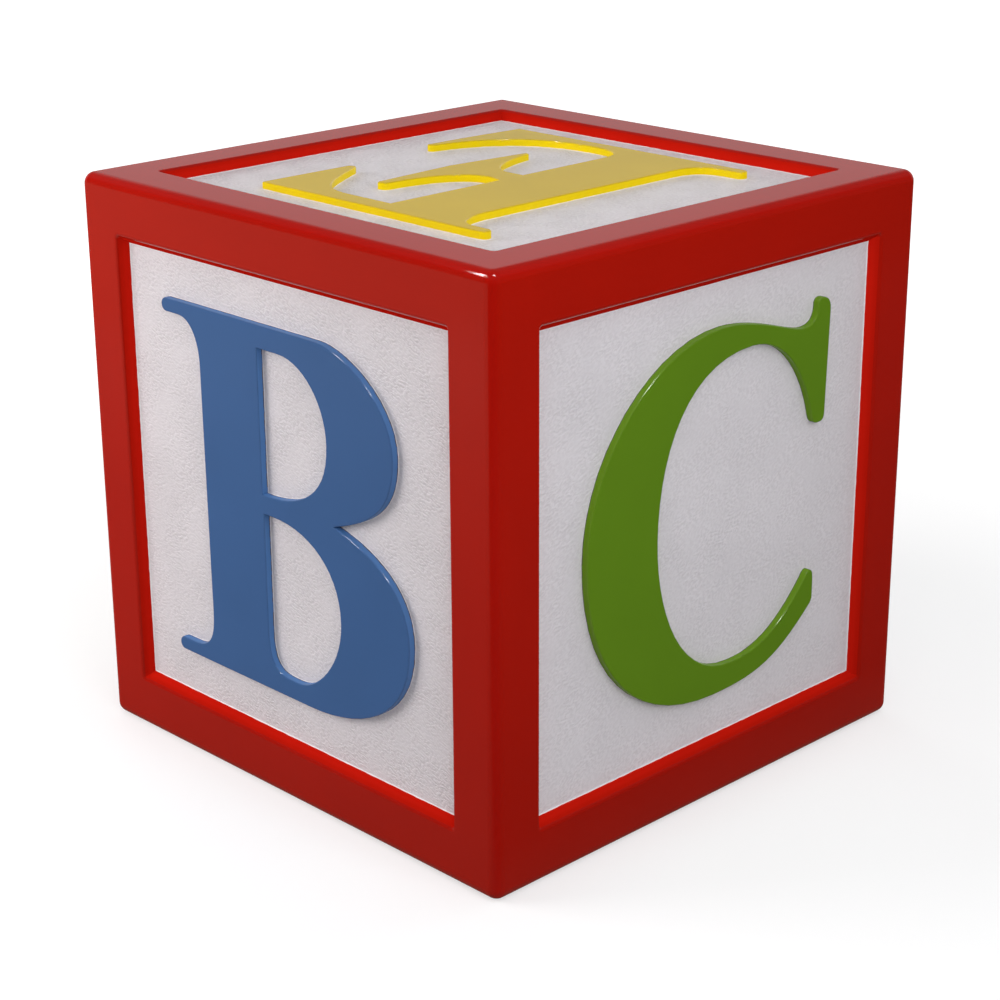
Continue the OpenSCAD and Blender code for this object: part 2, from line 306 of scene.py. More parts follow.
# Places off the flat outside of the frame: rounded outer edges, and the arris, the bevel and the
# depth into it round the panels
def makeOffFlatGroup():
    group, given, result = newGroup(
        "off the flats", [("Position", "Vector", None)],
        [("Rounding", "Float"), ("Bevel", "Float"), ("Arris", "Float"), ("Depth", "Float")])
    half = block["side"] / 2
    x, y, z = fromMiddle(group, given["Position"])
    most = maths(group, "MAXIMUM", maths(group, "MAXIMUM", x, y), z)
    least = maths(group, "MINIMUM", maths(group, "MINIMUM", x, y), z)
    total = maths(group, "ADD", maths(group, "ADD", x, y), z)
    between = maths(group, "SUBTRACT", maths(group, "SUBTRACT", total, most), least)
    depth = maths(group, "SUBTRACT", half, most)
    nearEdge = maths(group, "GREATER_THAN", between, half - offFlat["edgeReach"])
    inside = maths(group, "SUBTRACT", 1.0, nearEdge)
    rounding = ramp(group, depth, *offFlat["rounding"])
    bevel = ramp(group, depth, *offFlat["bevel"])
    arris = maths(group, "MULTIPLY", ramp(group, depth, *offFlat["arrisIn"]),
                  ramp(group, depth, *offFlat["arrisOut"]))
    into = ramp(group, depth, offFlat["bevel"][1], block["panelDepth"] * offFlat["deepest"])
    group.links.new(maths(group, "MULTIPLY", rounding, nearEdge), result["Rounding"])
    group.links.new(maths(group, "MULTIPLY", bevel, inside), result["Bevel"])
    group.links.new(maths(group, "MULTIPLY", arris, inside), result["Arris"])
    group.links.new(into, result["Depth"])
    return group


# Sprayed and brushed gloss paint: clouds of shade, orange peel, and a ghost of the grain below
def makePaintGroup():
    group, given, result = newGroup(
        "gloss paint",
        [("Position", "Vector", None), ("Colour", "Color", None), ("Shade Change", "Float", 0.05),
         ("Cloud Scale", "Float", 16.0), ("Peel Scale", "Float", 420.0),
         ("Peel Amount", "Float", 0.35), ("Grain", "Vector", (60, 60, 6)),
         ("Grain Amount", "Float", 0.3), ("Roughness", "Float", 0.35),
         ("Roughness Change", "Float", 0.05)],
        [("Colour", "Color"), ("Roughness", "Float"), ("Height", "Float")])
    clouds = noise(group, given["Position"], given["Cloud Scale"], 1.0, 0.5)
    stretched = vectorMaths(group, "MULTIPLY", given["Position"], given["Grain"])[0]
    grain = noise(group, stretched, 1.0, 3.0, 0.6)
    peel = noise(group, given["Position"], given["Peel Scale"], 1.0, 0.4)
    cloudChange = maths(group, "SUBTRACT", clouds, 0.5)
    change = maths(group, "MULTIPLY", cloudChange, given["Shade Change"])
    grainChange = maths(group, "MULTIPLY", maths(group, "SUBTRACT", grain, 0.5),
                        maths(group, "MULTIPLY", given["Shade Change"], given["Grain Amount"]))
    value = maths(group, "MULTIPLY_ADD", maths(group, "ADD", change, grainChange), 2.0, 1.0)
    group.links.new(shaded(group, given["Colour"], value), result["Colour"])
    group.links.new(maths(group, "MULTIPLY_ADD", cloudChange, given["Roughness Change"],
                          given["Roughness"]), result["Roughness"])
    height = maths(group, "MULTIPLY_ADD", grain, given["Grain Amount"],
                   maths(group, "MULTIPLY", peel, given["Peel Amount"]))
    group.links.new(height, result["Height"])
    return group


stippleBands = {
    "ridge": (0.36, 0.64),
    "patch": (0.38, 0.58),
}


# Roller stipple on the panels: short wavy ridges that lie across the face at a turn, in patches
def makeStippleGroup():
    group, given, result = newGroup(
        "roller stipple",
        [("Position", "Vector", None), ("Right", "Vector", (1, 0, 0)), ("Up", "Vector", (0, 0, 1)),
         ("Turn", "Float", 0.5), ("Along Scale", "Float", 340.0), ("Across Scale", "Float", 740.0),
         ("Swing", "Float", 0.0022), ("Swing Scale", "Float", 210.0),
         ("Patch Scale", "Float", 42.0), ("Smooth Patch", "Float", 0.45),
         ("Cloud Scale", "Float", 11.0)],
        [("Ridge", "Float"), ("Cloud", "Float")])
    across = vectorMaths(group, "DOT_PRODUCT", given["Position"], given["Right"])["Value"]
    upward = vectorMaths(group, "DOT_PRODUCT", given["Position"], given["Up"])["Value"]
    cosine = maths(group, "COSINE", given["Turn"])
    sine = maths(group, "SINE", given["Turn"])
    along = maths(group, "ADD", maths(group, "MULTIPLY", across, cosine),
                  maths(group, "MULTIPLY", upward, sine))
    beside = maths(group, "SUBTRACT", maths(group, "MULTIPLY", upward, cosine),
                   maths(group, "MULTIPLY", across, sine))
    flat = put(group, "ShaderNodeCombineXYZ", {"X": along, "Y": beside}).outputs[0]
    # The ridges swing to the sides as they run
    swing = maths(group, "SUBTRACT", noise(group, flat, given["Swing Scale"], 1.0), 0.5)
    swung = maths(group, "MULTIPLY_ADD", swing, given["Swing"], beside)
    ridgePlace = put(group, "ShaderNodeCombineXYZ", {
        "X": maths(group, "MULTIPLY", along, given["Along Scale"]),
        "Y": maths(group, "MULTIPLY", swung, given["Across Scale"])}).outputs[0]
    ridges = ramp(group, noise(group, ridgePlace, 1.0, 0.5, 0.5, 0.3), *stippleBands["ridge"])
    patches = ramp(group, noise(group, flat, given["Patch Scale"], 2.0), *stippleBands["patch"],
                   start=given["Smooth Patch"])
    middled = maths(group, "SUBTRACT", ridges, 0.5)
    group.links.new(maths(group, "MULTIPLY_ADD", middled, patches, 0.5), result["Ridge"])
    cloud = noise(group, given["Position"], given["Cloud Scale"], 3.0, 0.6)
    group.links.new(cloud, result["Cloud"])
    return group


footBands = {
    "edge": (0.00008, -0.00008),
    "line": (0.7, 0.3),
}


# White foot of a letter: a slightly uneven line where its colour ends, with a fine dark edge of
# painted contact shadow
def makeFootGroup(panelHeight):
    group, given, result = newGroup(
        "letter foot",
        [("Position", "Vector", None), ("Height", "Float", 0.0012), ("Unevenness", "Float", 0.0008),
         ("Wander Scale", "Float", 90.0), ("Line", "Float", 0.0008)],
        [("Foot", "Float"), ("Line", "Float"), ("Rise", "Float")])
    rise = usedGroup(group, panelHeight, {"Position": given["Position"]})["Height"]
    unevenness = noise(group, given["Position"], given["Wander Scale"], 3.0, 0.6)
    wander = maths(group, "SUBTRACT", unevenness, 0.5)
    edge = maths(group, "MULTIPLY_ADD", wander, given["Unevenness"], given["Height"])
    above = maths(group, "SUBTRACT", rise, edge)
    group.links.new(ramp(group, above, *footBands["edge"]), result["Foot"])
    lineMiddle = maths(group, "SUBTRACT", above, maths(group, "MULTIPLY", given["Line"], 0.5))
    offLine = maths(group, "DIVIDE", maths(group, "ABSOLUTE", lineMiddle), given["Line"])
    group.links.new(ramp(group, offLine, *footBands["line"]), result["Line"])
    group.links.new(rise, result["Rise"])
    return group


panelHeightGroup = makePanelHeightGroup()
offFlatGroup = makeOffFlatGroup()
paintGroup = makePaintGroup()
stippleGroup = makeStippleGroup()
footGroup = makeFootGroup(panelHeightGroup)
print("shader groups made")


# Red frame

redPaint = {
    "colour": (0.378, 0.0056, 0.0013, 1),
    "roundPaintedLight": (0.388, 0.0040, 0.0009, 1),
    "bevelPaintedLightStart": (0.490, 0.0085, 0.0030, 1),
    "bevelPaintedLightEnd": (0.565, 0.0100, 0.0040, 1),
    "lowShade": 0.87,
    "lowReach": 0.36,
    "roughness": 0.40,
    "bevelRoughness": 0.85,
    "arrisCoat": 1.0,
    "underside": (-0.15, -0.40),
    "coat": 0.38,
    "coatRoughness": 0.042,
    "shadeChange": 0.05,
    "grain": {"x": (5, 70, 70), "y": (70, 5, 70), "z": (70, 70, 5)},
    "grainAmount": 0.45,
    "peel": 0.35,
    "peelDepth": 0.00025,
}


def makeRedPaint(name, grain):
    material, tree, shader, position = newMaterial(name)
    masks = usedGroup(tree, offFlatGroup, {"Position": position})
    # Painted light: the rounded outer edges get a brighter, purer red for the light they catch
    rounded = blendColours(tree, masks["Rounding"], redPaint["colour"], redPaint["roundPaintedLight"])
    # Painted light: the bevels are painted brighter than the flats, most of all towards the panel,
    # for the light from above and off the white panel, as fitted to the photograph
    paintedBevelLight = blendColours(tree, masks["Depth"], redPaint["bevelPaintedLightStart"], redPaint["bevelPaintedLightEnd"])
    base = blendColours(tree, masks["Bevel"], rounded, paintedBevelLight)
    # Painted shade: the red is darker towards the floor, as fitted to the photograph
    low = ramp(tree, partsOf(tree, position)["Z"], 0.0, redPaint["lowReach"], smooth=False,
               start=redPaint["lowShade"], end=1.0)
    base = shaded(tree, base, low)
    paint = usedGroup(tree, paintGroup, {
        "Position": position, "Colour": base, "Shade Change": redPaint["shadeChange"],
        "Grain": grain, "Grain Amount": redPaint["grainAmount"],
        "Roughness": redPaint["roughness"]})
    tree.links.new(paint["Colour"], shader.inputs["Base Color"])
    # Bevels are matt, because a glossy one mirrors what the photograph doesn't show
    roughness = blendNumbers(tree, masks["Bevel"], paint["Roughness"], redPaint["bevelRoughness"])
    tree.links.new(roughness, shader.inputs["Roughness"])
    coat = ramp(tree, masks["Bevel"], 0.0, 1.0, start=redPaint["coat"], end=0.0)
    # Extra gloss on undersides of the arris only, for the pale line that the photograph shows there
    normal = tree.nodes.new("ShaderNodeNewGeometry").outputs["Normal"]
    under = ramp(tree, partsOf(tree, normal)["Z"], *redPaint["underside"])
    glossy = maths(tree, "MULTIPLY", maths(tree, "MULTIPLY", masks["Arris"], under),
                   redPaint["arrisCoat"])
    coat = maths(tree, "ADD", coat, glossy, clamp=True)
    tree.links.new(coat, shader.inputs["Coat Weight"])
    shader.inputs["Specular IOR Level"].default_value = 0.0
    shader.inputs["Coat Roughness"].default_value = redPaint["coatRoughness"]
    bumped(tree, shader, paint["Height"], redPaint["peel"], redPaint["peelDepth"])
    return material


def dressFrame():
    paints = {axis: makeRedPaint("red paint along " + axis, grain)
              for axis, grain in redPaint["grain"].items()}
    for name, node in frame["nodes"].items():
        if name.startswith("post_"):
            dress(node, paints["z"])
        elif name.startswith("rail_"):
            dress(node, paints["x" if name.endswith(("front", "back")) else "y"])
        else:
            continue
        smoothShading(node)
    return paints


framePaints = dressFrame()
print("frame painted")


# Panels

panelPaint = {
    "colour": (0.722, 0.686, 0.706, 1),
    "paintedValleyShade": (0.655, 0.618, 0.637, 1),
    "roughness": 0.50,
    "roughnessChange": 0.08,
    "cloudShade": 0.03,
    "ior": 1.42,
    "alongScale": 340.0,
    "acrossScale": 740.0,
    "depth": 0.00075,
}


def makePanelPaint(face, facts):
    material, tree, shader, position = newMaterial("stippled white " + face)
    stipple = usedGroup(tree, stippleGroup, {
        "Position": position, "Right": facts["right"], "Up": facts["up"], "Turn": facts["rolled"],
        "Along Scale": panelPaint["alongScale"] / facts["ripple"],
        "Across Scale": panelPaint["acrossScale"] / facts["ripple"]})
    # Painted shade: the stipple's valleys are painted darker than its ridges, on top of the bump
    # that shades them
    paintedRidgeShade = blendColours(tree, stipple["Ridge"], panelPaint["paintedValleyShade"], panelPaint["colour"])
    cloud = ramp(tree, stipple["Cloud"], 0.3, 0.7, start=1 - panelPaint["cloudShade"],
                 end=1 + panelPaint["cloudShade"])
    # Painted light: each face's white is made brighter or darker by its factor
    cloud = maths(tree, "MULTIPLY", cloud, facts["paintedLightFactor"])
    tree.links.new(shaded(tree, paintedRidgeShade, cloud), shader.inputs["Base Color"])
    roughness = ramp(tree, stipple["Ridge"], 0.0, 1.0,
                     start=panelPaint["roughness"] + panelPaint["roughnessChange"],
                     end=panelPaint["roughness"] - panelPaint["roughnessChange"])
    tree.links.new(roughness, shader.inputs["Roughness"])
    shader.inputs["IOR"].default_value = panelPaint["ior"]
    bumped(tree, shader, stipple["Ridge"], facts["relief"], panelPaint["depth"])
    return material


for face, facts in faces.items():
    panel = frame["nodes"]["panel_" + face]
    dress(panel, makePanelPaint(face, facts))
    smoothShading(panel)
print("panels painted")


# Paint and filler that round the inner corners of the frame, deepest at the flat

cornerFill = {
    "radius": 0.0052,
    "arris": 0.0036,
    "arrisSteps": 8,
    "sunk": 0.0003,
    "turns": 6,
    "levels": 5,
}


# Section of the frame's inner edge as (distance in from the flat, depth), down to the fillet's end
def innerEdge():
    tilt = math.atan2(block["panelDepth"], block["bevelReach"])
    points = []
    for i in range(cornerFill["arrisSteps"] + 1):
        turn = tilt * i / cornerFill["arrisSteps"]
        points.append((cornerFill["arris"] * math.sin(turn),
                       cornerFill["arris"] * (1 - math.cos(turn))))
    startIn, startDepth = points[-1]
    flatEdge = block["side"] / 2 - block["flatWidth"]
    endIn = flatEdge - (block["side"] / 2 - block["barWidth"])
    for i in range(1, cornerFill["levels"] + 1):
        into = startIn + (cornerFill["radius"] - startIn) * i / cornerFill["levels"]
        share = (into - startIn) / (endIn - startIn)
        points.append((into, startDepth + (block["panelDepth"] - startDepth) * share))
    return flatEdge, points


def makeCornerFill(face, facts):
    right, up = Vector(facts["right"]), Vector(facts["up"])
    out = right.cross(up)
    flatEdge, section = innerEdge()
    centre = flatEdge - cornerFill["radius"]
    turns = [math.pi / 2 * i / cornerFill["turns"] for i in range(cornerFill["turns"] + 1)]
    bm = bmesh.new()
    for x, y in corners:
        def at(across, upward, depth):
            return bm.verts.new(middle + right * (x * across) + up * (y * upward)
                                + out * (block["side"] / 2 - depth))
        rings, hidden = [], []
        for into, depth in section[:-1]:
            reach = cornerFill["radius"] - into
            rings.append([at(centre + reach * math.cos(t), centre + reach * math.sin(t), depth)
                          for t in turns])
            back = flatEdge - into + (cornerFill["sunk"] if into > 0 else 0)
            hidden.append(at(back, back, depth))
        tip = at(centre, centre, section[-1][1])
        bm.faces.new(rings[0] + [hidden[0]])
        for i in range(len(rings) - 1):
            upper = rings[i] + [hidden[i]]
            bridge(bm, upper, rings[i + 1] + [hidden[i + 1]])
        last = rings[-1] + [hidden[-1]]
        for i in range(len(last)):
            bm.faces.new((last[i], last[(i + 1) % len(last)], tip))
    bmesh.ops.recalc_face_normals(bm, faces=bm.faces[:])
    piece = addPiece("corner_fill_" + face, bm, framePaints["z"])
    smoothShading(piece, weld=False)


# Letters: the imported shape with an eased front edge

letterShape = {
    "easing": 0.0011,
    "easingSteps": 4,
    "sharpest": 0.35,
}
letterPaints = {
    "blue": {"colour": (0.044, 0.108, 0.262, 1), "paintedLitWall": (0.074, 0.186, 0.425, 1),
             "footHeight": 0.0004, "line": 1.0, "bead": 0.0004},
    "green": {"colour": (0.103, 0.212, 0.008, 1), "paintedLitWall": (0.125, 0.255, 0.006, 1),
              "footHeight": 0.0002, "line": 0.9, "bead": 0.0002},
    "yellow": {"colour": (0.615, 0.418, 0.0, 1), "paintedLitWall": (0.870, 0.650, 0.0, 1),
               "footHeight": -0.0010, "line": 0.0, "bead": 0.0006},
}
letterFinish = {
    "foot": (0.70, 0.665, 0.675, 1),
    "line": (0.10, 0.085, 0.075, 1),
    "roughness": 0.32,
    "coat": 0.36,
    "edgeCoat": 0.8,
    "coatRoughness": 0.08,
    "shadeChange": 0.05,
    "grain": (30, 30, 30),
    "grainAmount": 0.2,
    "frontRise": (0.0048, 0.0059),
    "easedIn": (0.0044, 0.0050),
    "easedOut": (0.00599, 0.0059),
    "gapScale": 260.0,
    "gapBand": (0.35, 0.60),
    "inGap": 0.4,
    "peel": 0.3,
    "peelDepth": 0.00025,
}


def makeLetterPaint(name, colours):
    material, tree, shader, position = newMaterial(name + " letter paint")
    foot = usedGroup(tree, footGroup, {"Position": position, "Height": colours["footHeight"]})
    # Painted light: the walls get a brighter copy of the letter's colour, for the light they catch
    onFront = ramp(tree, foot["Rise"], *letterFinish["frontRise"])
    base = blendColours(tree, onFront, colours["paintedLitWall"], colours["colour"])
    paint = usedGroup(tree, paintGroup, {
        "Position": position, "Colour": base, "Shade Change": letterFinish["shadeChange"],
        "Grain": letterFinish["grain"], "Grain Amount": letterFinish["grainAmount"],
        "Roughness": letterFinish["roughness"]})
    withFoot = blendColours(tree, foot["Foot"], paint["Colour"], letterFinish["foot"])
    # Painted shadow: a fine dark line at the foot of the wall, broken in gaps, stands for contact
    # shadow
    gaps = ramp(tree, noise(tree, position, letterFinish["gapScale"], 1.0),
                *letterFinish["gapBand"], start=colours["line"] * letterFinish["inGap"],
                end=colours["line"])
    contactShadowAmount = maths(tree, "MULTIPLY", foot["Line"], gaps)
    withContactShadow = blendColours(tree, contactShadowAmount, withFoot, letterFinish["line"])
    tree.links.new(withContactShadow, shader.inputs["Base Color"])
    tree.links.new(paint["Roughness"], shader.inputs["Roughness"])
    shader.inputs["Specular IOR Level"].default_value = 0.0
    # The eased edge is glossier, for the thin glints on the letters in the photograph
    eased = maths(tree, "MULTIPLY", ramp(tree, foot["Rise"], *letterFinish["easedIn"]),
                  ramp(tree, foot["Rise"], *letterFinish["easedOut"]))
    coat = ramp(tree, eased, 0.0, 1.0, start=letterFinish["coat"], end=letterFinish["edgeCoat"])
    tree.links.new(coat, shader.inputs["Coat Weight"])
    shader.inputs["Coat Roughness"].default_value = letterFinish["coatRoughness"]
    bumped(tree, shader, paint["Height"], letterFinish["peel"], letterFinish["peelDepth"])
    return material


# Loops of points round the front of a letter, with the letter on the left of the way they run
def frontLoops(bm, out):
    level = max(vert.co.dot(out) for vert in bm.verts)
    # A list keeps the order of the faces, and so of the finished mesh, the same in every run
    front = [f for f in bm.faces if all(abs(v.co.dot(out) - level) < 1e-6 for v in f.verts)]
    inFront = set(front)
    following = {}
    for f in front:
        for corner in f.loops:
            others = [g for g in corner.edge.link_faces if g is not f]
            if not others or others[0] not in inFront:
                following[corner.vert] = corner.link_loop_next.vert
    loops = []
    while following:
        start = next(iter(following))
        loop = [start]
        while following[loop[-1]] is not start:
            loop.append(following[loop[-1]])
        for vert in loop:
            del following[vert]
        loops.append(loop)
    return loops, front


# Sideways direction at each point of a closed loop, away from what lies on its left
def sideways(points, out):
    count = len(points)
    result = []
    for i in range(count):
        before = (points[i] - points[i - 1]).normalized().cross(out)
        after = (points[(i + 1) % count] - points[i]).normalized().cross(out)
        result.append((before + after) / max(1 + before.dot(after), letterShape["sharpest"]))
    return result


def makeLetter(face, facts, material):
    out = Vector(facts["right"]).cross(Vector(facts["up"]))
    bm = bmesh.new()
    bm.from_mesh(frame["nodes"][facts["letter"]].data)
    bmesh.ops.remove_doubles(bm, verts=bm.verts[:], dist=smoothing["weld"])
    loops, front = frontLoops(bm, out)
    outlines = [[vert.co.copy() for vert in loop] for loop in loops]
    bmesh.ops.delete(bm, geom=front, context="FACES_ONLY")
    easing, steps = letterShape["easing"], letterShape["easingSteps"]
    rim = []
    for loop, outline in zip(loops, outlines):
        aside = sideways(outline, out)
        ring = loop
        for vert in loop:
            vert.co -= out * easing
        for step in range(1, steps + 1):
            turn = math.pi / 2 * step / steps
            inward, drop = easing * (1 - math.cos(turn)), easing * (1 - math.sin(turn))
            nextRing = [bm.verts.new(p - a * inward - out * drop) for p, a in zip(outline, aside)]
            bridge(bm, ring, nextRing)
            ring = nextRing
        rim += [bm.edges.get((ring[i - 1], ring[i])) for i in range(len(ring))]
    bmesh.ops.triangle_fill(bm, edges=rim, use_beauty=True, normal=out)
    bmesh.ops.recalc_face_normals(bm, faces=bm.faces[:])
    piece = addPiece("painted_" + facts["letter"], bm, material)
    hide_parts(facts["letter"])
    smoothShading(piece, weld=False)
    return outlines


# Beads of white paint in the corners where a letter or the frame meets the panel

bead = {
    "frame": 0.0006,
    "letterRise": 0.7,
    "sunk": 0.0002,
    "steps": 3,
    "spacing": 0.004,
    "unevenness": 0.45,
    "unevenScale": 170,
    "colour": (0.79, 0.76, 0.77, 1),
    "shadeChange": 0.04,
    "cloudScale": 60.0,
    "grain": (40, 40, 40),
    "grainAmount": 0.2,
    "roughness": 0.4,
    "ior": 1.3,
    "peel": 0.3,
    "peelDepth": 0.0002,
}


def makeBeadPaint():
    material, tree, shader, position = newMaterial("white paint bead")
    paint = usedGroup(tree, paintGroup, {
        "Position": position, "Colour": bead["colour"], "Shade Change": bead["shadeChange"],
        "Cloud Scale": bead["cloudScale"], "Grain": bead["grain"],
        "Grain Amount": bead["grainAmount"], "Roughness": bead["roughness"]})
    tree.links.new(paint["Colour"], shader.inputs["Base Color"])
    tree.links.new(paint["Roughness"], shader.inputs["Roughness"])
    shader.inputs["IOR"].default_value = bead["ior"]
    bumped(tree, shader, paint["Height"], bead["peel"], bead["peelDepth"])
    return material


# Hollow curve from the panel up to the side it runs along, with its hidden edges sunk inside
def beadProfile(reach, rise, lean):
    top = Vector((-rise * math.sin(lean), rise * math.cos(lean)))
    foot = Vector((reach, 0))
    curved = []
    for i in range(bead["steps"] + 1):
        t = i / bead["steps"]
        curved.append(foot * (1 - t) ** 2 + top * t ** 2)
    start = Vector((foot.x, -bead["sunk"]))
    hidden = [Vector((top.x - bead["sunk"], top.y)), Vector((-bead["sunk"] * 2, -bead["sunk"]))]
    return [start] + curved + hidden


# Points added along a closed loop, so that no two are farther apart than the spacing
def denser(points, spacing):
    result = []
    for i in range(len(points)):
        start, end = points[i], points[(i + 1) % len(points)]
        parts = max(1, math.ceil((end - start).length / spacing))
        result += [start.lerp(end, j / parts) for j in range(parts)]
    return result


def sweep(bm, outline, out, profile):
    outline = denser(outline, bead["spacing"])
    aside = sideways(outline, out)
    # The brushed bead swells and thins as it goes
    amounts = [1 + bead["unevenness"] * mathutils.noise.noise(p * bead["unevenScale"])
               for p in outline]
    rings = [[bm.verts.new(p + (a * point.x + out * point.y) * k)
              for p, a, k in zip(outline, aside, amounts)] for point in profile]
    for i in range(len(rings)):
        bridge(bm, rings[i - 1], rings[i])


def makeBeads(face, facts, outlines, material):
    right, up = Vector(facts["right"]), Vector(facts["up"])
    out = right.cross(up)
    level = block["side"] / 2 - block["panelDepth"]
    bm = bmesh.new()
    size = letterPaints[facts["paint"]]["bead"]
    for outline in outlines:
        onPanel = [p - out * ((p - middle).dot(out) - level) for p in outline]
        sweep(bm, onPanel, out, beadProfile(size, size * bead["letterRise"], 0))
    reach = block["side"] / 2 - block["barWidth"]
    square = [middle + right * (x * reach) + up * (y * reach) + out * level for x, y in corners]
    lean = math.atan2(block["bevelReach"], block["panelDepth"])
    sweep(bm, square, out, beadProfile(bead["frame"], bead["frame"], lean))
    bmesh.ops.recalc_face_normals(bm, faces=bm.faces[:])
    piece = addPiece("paint_bead_" + face, bm, material)
    smoothShading(piece, weld=False)


letterMaterials = {name: makeLetterPaint(name, colours) for name, colours in letterPaints.items()}
beadPaint = makeBeadPaint()
for face, facts in faces.items():
    outlines = makeLetter(face, facts, letterMaterials[facts["paint"]])
    makeBeads(face, facts, outlines, beadPaint)
    makeCornerFill(face, facts)
print("letters, paint beads and corner fillets made")


# Hidden fixings

fixings = {
    "beech": (0.62, 0.43, 0.25, 1),
    "beechFleck": (0.40, 0.24, 0.12, 1),
    "beechFleckBand": (0.45, 0.75),
    "beechRoughness": (0.55, 0.75),
    "beechDepth": 0.0004,
    "zinc": (0.60, 0.61, 0.63, 1),
    "zincScale": 700.0,
    "zincShade": (0.85, 1.1),
    "zincRoughness": (0.28, 0.45),
    "zincDepth": 0.0001,
}


def makeBeech(name, grain):
    material, tree, shader, position = newMaterial(name)
    stretched = vectorMaths(tree, "MULTIPLY", position, grain)[0]
    streaks = noise(tree, stretched, 1.0, 4.0, 0.65, 0.4)
    colour = blendColours(tree, ramp(tree, streaks, *fixings["beechFleckBand"]),
                          fixings["beech"], fixings["beechFleck"])
    tree.links.new(colour, shader.inputs["Base Color"])
    least, most = fixings["beechRoughness"]
    roughness = ramp(tree, streaks, 0.2, 0.8, start=least, end=most)
    tree.links.new(roughness, shader.inputs["Roughness"])
    bumped(tree, shader, streaks, 0.3, fixings["beechDepth"])
    return material


def makeZinc():
    material, tree, shader, position = newMaterial("zinc plating")
    cloud = noise(tree, position, fixings["zincScale"], 3.0, 0.6)
    darkest, brightest = fixings["zincShade"]
    shade = ramp(tree, cloud, 0.3, 0.7, start=darkest, end=brightest)
    tree.links.new(shaded(tree, fixings["zinc"], shade), shader.inputs["Base Color"])
    least, most = fixings["zincRoughness"]
    roughness = ramp(tree, cloud, 0.3, 0.7, start=least, end=most)
    tree.links.new(roughness, shader.inputs["Roughness"])
    shader.inputs["Metallic"].default_value = 1.0
    bumped(tree, shader, cloud, 0.2, fixings["zincDepth"])
    return material


def dressFixings():
    alongX = makeBeech("beech along x", (30, 320, 320))
    alongY = makeBeech("beech along y", (320, 30, 320))
    zinc = makeZinc()
    for name, node in frame["nodes"].items():
        if name.startswith("dowels_"):
            dress(node, alongX if name.endswith("front_back") else alongY)
        elif name.startswith("screws_"):
            dress(node, zinc)
        else:
            continue
        smoothShading(node)


dressFixings()
print("dowels and screws finished")


# Studio: pale floor, even light and three highlights. Lamps and brightnesses are fitted to the
# photograph, and aren't the lamps of its studio

studio = {
    "sky": 0.34,
    "horizon": 1.0,
    "horizonFront": 0.12,
    "ceiling": 0.30,
    "behindFrom": (0.3, 0.9),
    "ceilingFrom": (0.42, 0.62),
    "floor": (0.38, 0.38, 0.39, 1),
    "floorInView": (0.50, 0.50, 0.50, 1),
    "floorMirrored": (0.10, 0.10, 0.10, 1),
    "floorSeenNear": 0.52,
    "floorSeenFar": 0.97,
    "mirroredNear": (0.24, 0.24, 0.18, 1),
    "mirroredFar": (0.64, 0.61, 0.46, 1),
    "mirroredRight": (0.05, 0.05, 0.03, 1),
    "mirroredBehind": (1.0, 0.96, 0.88, 1),
    "leftFrom": (-0.45, -1.30),
    "rightFrom": (0.20, 0.30),
    "besideY": (-0.19, -0.12),
    "besideX": (0.19, 0.12),
    "besideReach": (0.80, 0.65),
    "liftReach": (0.5, 2.0),
    "floorRoughness": 0.9,
    "floorSize": 40.0,
}
lamps = {
    "key": {"from": (-0.66, -0.80, 0.33), "away": 1.45, "size": (0.9, 0.9),
            "power": 14.1, "tint": (1, 0.96, 0.955)},
    "fill": {"from": (0.94, -0.30, 0.50), "away": 1.35, "size": (1.0, 0.9),
             "power": 6.8, "tint": (0.94, 0.965, 1)},
    "front": {"from": (0.72, -0.70, 0.40), "away": 2.2, "size": (1.4, 1.0),
              "power": 5.0, "tint": (1, 0.98, 0.98)},
    "above": {"from": (0.35, -0.20, 1.0), "away": 1.8, "size": (1.2, 1.2),
              "power": 4.9, "tint": (0.97, 0.98, 1)},
    "backLeft": {"from": (-0.90, 0.30, 0.25), "away": 1.8, "size": (1.2, 0.9),
                 "power": 8, "tint": (1, 1, 1)},
    "backRight": {"from": (0.25, 0.92, 0.25), "away": 1.8, "size": (1.2, 0.9),
                  "power": 8, "tint": (1, 1, 1)},
}
# Lamps that only show as highlights on gloss
highlights = {
    "frontWindow": {"from": (-0.563, -0.486, 0.669), "away": 2.11, "size": (0.02, 0.6),
                    "power": 2.2, "tint": (1, 1, 1), "along": (0, 0.81, 0.59)},
    "highWindow": {"from": (-0.275, -0.635, 0.72), "away": 2.11, "size": (0.30, 0.25),
                   "power": 18, "tint": (1, 1, 1)},
    "overhead": {"from": (0.37, -0.20, 0.91), "away": 2.0, "size": (0.36, 0.36),
                 "power": 30, "tint": (1, 1, 1)},
}


# Rays that find their own brightness in the studio: the camera's, and those off gloss or glass
def backgroundRays(tree):
    path = tree.nodes.new("ShaderNodeLightPath").outputs
    mirrored = maths(tree, "MAXIMUM", path["Is Glossy Ray"], path["Is Transmission Ray"])
    return path["Is Camera Ray"], mirrored


def makeWorld():
    world = bpy.data.worlds.new("studio")
    bpy.context.scene.world = world
    world.use_nodes = True
    tree = world.node_tree
    background = tree.nodes["Background"]
    background.inputs["Color"].default_value = (1, 1, 1, 1)
    seen, mirrored = backgroundRays(tree)
    # Gloss finds the white backdrop behind the block up to the height of a wall, a dark room in
    # front and a dimmer ceiling above both
    way = partsOf(tree, tree.nodes.new("ShaderNodeTexCoord").outputs["Generated"])
    behind = ramp(tree, maths(tree, "SUBTRACT", way["Y"], way["X"]), *studio["behindFrom"],
                  start=studio["horizonFront"], end=studio["horizon"])
    high = ramp(tree, way["Z"], *studio["ceilingFrom"])
    room = blendNumbers(tree, high, behind, studio["ceiling"])
    lit = ramp(tree, seen, 0.0, 1.0, smooth=False, start=studio["sky"], end=1.0)
    strength = blendNumbers(tree, mirrored, lit, room)
    tree.links.new(strength, background.inputs["Strength"])


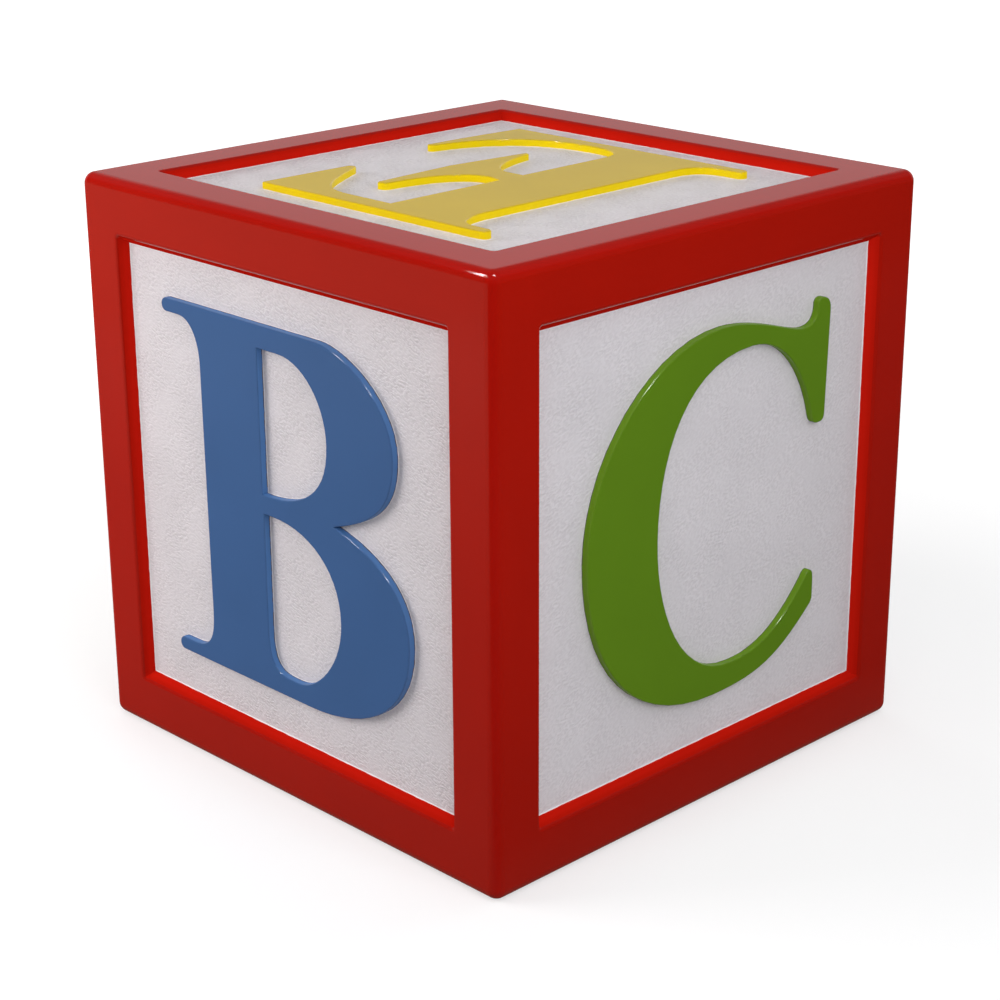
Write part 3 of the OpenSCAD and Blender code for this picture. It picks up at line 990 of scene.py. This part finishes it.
def makeFloor():
    bm = bmesh.new()
    bmesh.ops.create_grid(bm, x_segments=4, y_segments=4, size=studio["floorSize"] / 2)
    mesh = bpy.data.meshes.new("floor")
    bm.to_mesh(mesh)
    bm.free()
    floor = bpy.data.objects.new("floor", mesh)
    bpy.context.collection.objects.link(floor)
    material, tree, shader, place = newMaterial("pale floor")
    shader.inputs["Roughness"].default_value = studio["floorRoughness"]
    shader.inputs["Specular IOR Level"].default_value = 0.0
    seen, mirrored = backgroundRays(tree)
    base = blendColours(tree, mirrored, studio["floor"], studio["floorMirrored"])
    base = blendColours(tree, seen, base, studio["floorInView"])
    tree.links.new(base, shader.inputs["Base Color"])
    fromBlock = vectorMaths(tree, "LENGTH", place)["Value"]
    # What gloss finds on the floor is fitted, and isn't lit: bright far out on the left, dim close
    # to the block and dark on the right
    spot = partsOf(tree, place)
    leftSide = blendColours(tree, ramp(tree, spot["Y"], *studio["leftFrom"]),
                            studio["mirroredNear"], studio["mirroredFar"])
    gloss = blendColours(tree, ramp(tree, spot["X"], *studio["rightFrom"]), leftSide,
                         studio["mirroredRight"])
    # A fitted bright patch beside the block, found only by the undersides of the rails
    inBehind = maths(tree, "MULTIPLY", ramp(tree, spot["Y"], *studio["besideY"]),
                     ramp(tree, spot["X"], *studio["besideX"]))
    inBehind = maths(tree, "MULTIPLY", inBehind, ramp(tree, fromBlock, *studio["besideReach"]))
    gloss = blendColours(tree, inBehind, gloss, studio["mirroredBehind"])
    white = blendColours(tree, seen, gloss, (1, 1, 1, 1))
    tree.links.new(white, shader.inputs["Emission Color"])
    # The lift grows as the lamplight fades, so the floor stays white and still takes a shadow
    seenLift = ramp(tree, fromBlock, *studio["liftReach"], smooth=False,
                    start=studio["floorSeenNear"], end=studio["floorSeenFar"])
    lift = maths(tree, "MAXIMUM", maths(tree, "MULTIPLY", seen, seenLift), mirrored)
    tree.links.new(lift, shader.inputs["Emission Strength"])
    mesh.materials.append(material)


def makeLamp(name, facts):
    lamp = bpy.data.lights.new(name, "AREA")
    lamp.shape = "RECTANGLE"
    lamp.size, lamp.size_y = facts["size"]
    lamp.energy = facts["power"]
    lamp.color = facts["tint"]
    holder = bpy.data.objects.new(name, lamp)
    away = Vector(facts["from"]).normalized()
    holder.location = middle + away * facts["away"]
    if "along" in facts:
        side = (Vector(facts["along"]) - away * away.dot(facts["along"])).normalized()
        turn = Matrix((side.cross(away), side, away)).transposed()
        holder.rotation_euler = turn.to_euler()
    else:
        holder.rotation_euler = away.to_track_quat("Z", "Y").to_euler()
    bpy.context.collection.objects.link(holder)
    return holder


def makeLamps():
    for name, facts in lamps.items():
        makeLamp(name, facts).visible_glossy = False
    for name, facts in highlights.items():
        makeLamp(name, facts).visible_diffuse = False


makeWorld()
makeFloor()
makeLamps()
print("studio lit")
